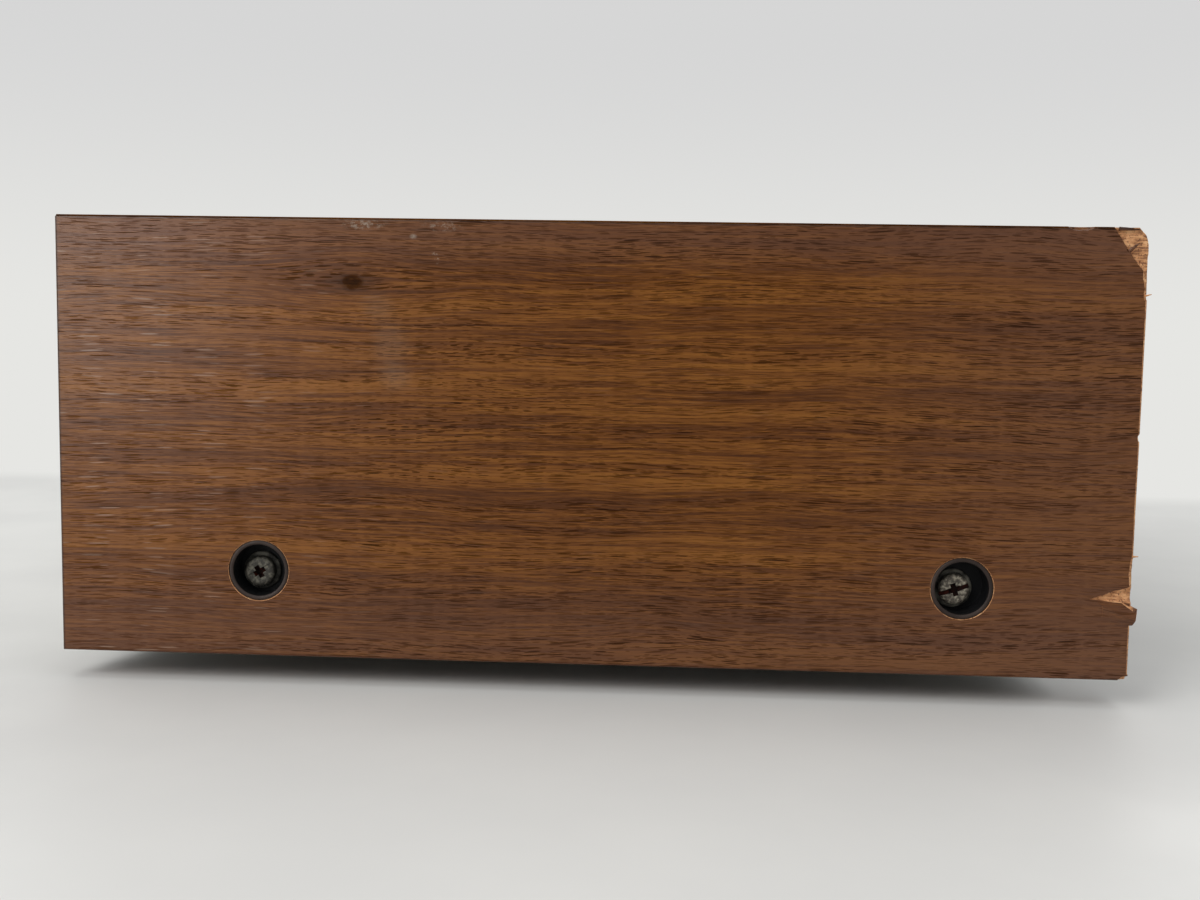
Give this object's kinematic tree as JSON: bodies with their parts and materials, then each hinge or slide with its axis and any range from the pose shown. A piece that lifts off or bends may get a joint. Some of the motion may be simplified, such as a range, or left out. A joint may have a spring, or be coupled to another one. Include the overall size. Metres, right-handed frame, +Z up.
{
  "type": "stereo amplifier",
  "caption": "Stereo integrated amplifier in a mitred walnut-veneer sleeve, with rotary controls, lever switches, a power button, phono jacks and screw terminals for speakers.",
  "frame": {"origin": "middle of the footprint on the surface that the feet stand on", "axes": "+X to the right as seen by a user in front, +Y to the rear, +Z up"},
  "size_m": [0.42, 0.345, 0.145],
  "materials": {
    "walnut": "oiled walnut veneer, worn at the edges",
    "softwood": "raw sawn",
    "screen_steel": "matt black",
    "ferrule_plastic": "dark brown moulded plastic",
    "dull_steel": "dull, with rust spots",
    "zinc_steel": "zinc plated sheet",
    "rear_paint": "matt dark grey paint",
    "panel_aluminium": "brushed and anodised",
    "foot_rubber": "matt black",
    "screw_zinc": "zinc plated",
    "core_iron": "varnished laminations",
    "winding": "taped copper winding",
    "cover_paint": "gloss black paint",
    "capacitor_sleeve": "blue shrink sleeve",
    "sink_anodised": "black anodised",
    "transistor_can": "nickel plated can",
    "phenolic_board": "phenolic circuit board",
    "component_plastic": "moulded and sleeved components",
    "nylon": "natural nylon",
    "control_metal": "plated control cans and bushings",
    "wafer_phenolic": "phenolic wafers",
    "nut_nickel": "nickel plated",
    "black_plastic": "moulded black",
    "lamp_glass": "clear bulb in a pale holder",
    "lens_red": "clear red plastic",
    "knob_aluminium": "turned and anodised",
    "shaft_steel": "ground",
    "black_phenolic": "black laminate",
    "jack_nickel": "nickel plated",
    "wire_sleeve": "plastic insulation"
  },
  "bodies": {
    "chassis": {"top_board": "walnut", "left_side_board": "walnut", "right_side_board": "walnut", "glue_blocks": "softwood", "dust_screen": "screen_steel", "case_ferrules": "ferrule_plastic", "case_screws": "dull_steel", "chassis_tray": "zinc_steel", "rear_panel": "rear_paint", "front_subpanel": "zinc_steel", "front_panel": "panel_aluminium", "feet": "foot_rubber", "chassis_screws": "screw_zinc", "transformer_core": "core_iron", "transformer_coil": "winding", "transformer_covers": "cover_paint", "transformer_bolts": "screw_zinc", "filter_capacitors": "capacitor_sleeve", "capacitor_clamps": "zinc_steel", "heat_sink": "sink_anodised", "power_transistors": "transistor_can", "power_board": "phenolic_board", "driver_board": "phenolic_board", "preamp_board": "phenolic_board", "board_components": "component_plastic", "board_standoffs": "nylon", "potentiometers": "control_metal", "rotary_switches": "wafer_phenolic", "control_nuts": "nut_nickel", "lever_switches": "black_plastic", "power_switch": "black_plastic", "headphone_jack": "black_plastic", "pilot_lamp": "lamp_glass", "pilot_lens": "lens_red", "jack_board": "black_phenolic", "input_jacks": "jack_nickel", "speaker_terminals": "black_phenolic", "terminal_screws": "jack_nickel", "fuse_holder": "black_plastic", "cord_gland": "black_plastic", "wiring": "wire_sleeve"},
    "volume_control": {"volume_knob": "knob_aluminium", "volume_shaft": "shaft_steel"},
    "balance_control": {"balance_knob": "knob_aluminium", "balance_shaft": "shaft_steel"},
    "bass_control": {"bass_knob": "knob_aluminium", "bass_shaft": "shaft_steel"},
    "treble_control": {"treble_knob": "knob_aluminium", "treble_shaft": "shaft_steel"},
    "selector_control": {"selector_knob": "knob_aluminium", "selector_shaft": "shaft_steel"},
    "speaker_control": {"speaker_knob": "knob_aluminium", "speaker_shaft": "shaft_steel"},
    "loudness_switch": {"loudness_lever": "knob_aluminium"},
    "low_filter_switch": {"low_filter_lever": "knob_aluminium"},
    "high_filter_switch": {"high_filter_lever": "knob_aluminium"},
    "tape_switch": {"tape_lever": "knob_aluminium"},
    "mode_switch": {"mode_lever": "knob_aluminium"},
    "power_push": {"power_button": "knob_aluminium"},
    "fuse_cover": {"fuse_cap": "black_plastic"}
  },
  "joints": [
    {"name": "volume_turn", "type": "hinge", "parent": "chassis", "child": "volume_control", "pos_m": [0.152, -0.1535, 0.0735], "axis": [0, 1, 0], "range_deg": [-90, 210]},
    {"name": "balance_turn", "type": "hinge", "parent": "chassis", "child": "balance_control", "pos_m": [0.052, -0.1535, 0.0915], "axis": [0, 1, 0], "range_deg": [-150, 150]},
    {"name": "bass_turn", "type": "hinge", "parent": "chassis", "child": "bass_control", "pos_m": [-0.056, -0.1535, 0.0915], "axis": [0, 1, 0], "range_deg": [-150, 150]},
    {"name": "treble_turn", "type": "hinge", "parent": "chassis", "child": "treble_control", "pos_m": [-0.002, -0.1535, 0.0915], "axis": [0, 1, 0], "range_deg": [-150, 150]},
    {"name": "selector_turn", "type": "hinge", "parent": "chassis", "child": "selector_control", "pos_m": [0.104, -0.1535, 0.0915], "axis": [0, 1, 0], "range_deg": [-30, 90]},
    {"name": "speaker_turn", "type": "hinge", "parent": "chassis", "child": "speaker_control", "pos_m": [-0.116, -0.1535, 0.0915], "axis": [0, 1, 0], "range_deg": [-30, 60]},
    {"name": "loudness_flip", "type": "hinge", "parent": "chassis", "child": "loudness_switch", "pos_m": [-0.062, -0.141, 0.0395], "axis": [-1, 0, 0], "range_deg": [0, 24]},
    {"name": "low_filter_flip", "type": "hinge", "parent": "chassis", "child": "low_filter_switch", "pos_m": [-0.032, -0.141, 0.0395], "axis": [-1, 0, 0], "range_deg": [0, 24]},
    {"name": "high_filter_flip", "type": "hinge", "parent": "chassis", "child": "high_filter_switch", "pos_m": [-0.002, -0.141, 0.0395], "axis": [-1, 0, 0], "range_deg": [0, 24]},
    {"name": "tape_flip", "type": "hinge", "parent": "chassis", "child": "tape_switch", "pos_m": [0.028, -0.141, 0.0395], "axis": [-1, 0, 0], "range_deg": [0, 24]},
    {"name": "mode_flip", "type": "hinge", "parent": "chassis", "child": "mode_switch", "pos_m": [0.058, -0.141, 0.0395], "axis": [1, 0, 0], "range_deg": [0, 24]},
    {"name": "power_press", "type": "slide", "parent": "chassis", "child": "power_push", "axis": [0, 1, 0], "range_m": [0, 0.004], "stiffness_N_per_m": 400, "springref_m": -0.002},
    {"name": "fuse_unlock", "type": "hinge", "parent": "chassis", "child": "fuse_cover", "pos_m": [-0.135, 0.1585, 0.086], "axis": [0, 1, 0], "range_deg": [0, 60]}
  ]
}
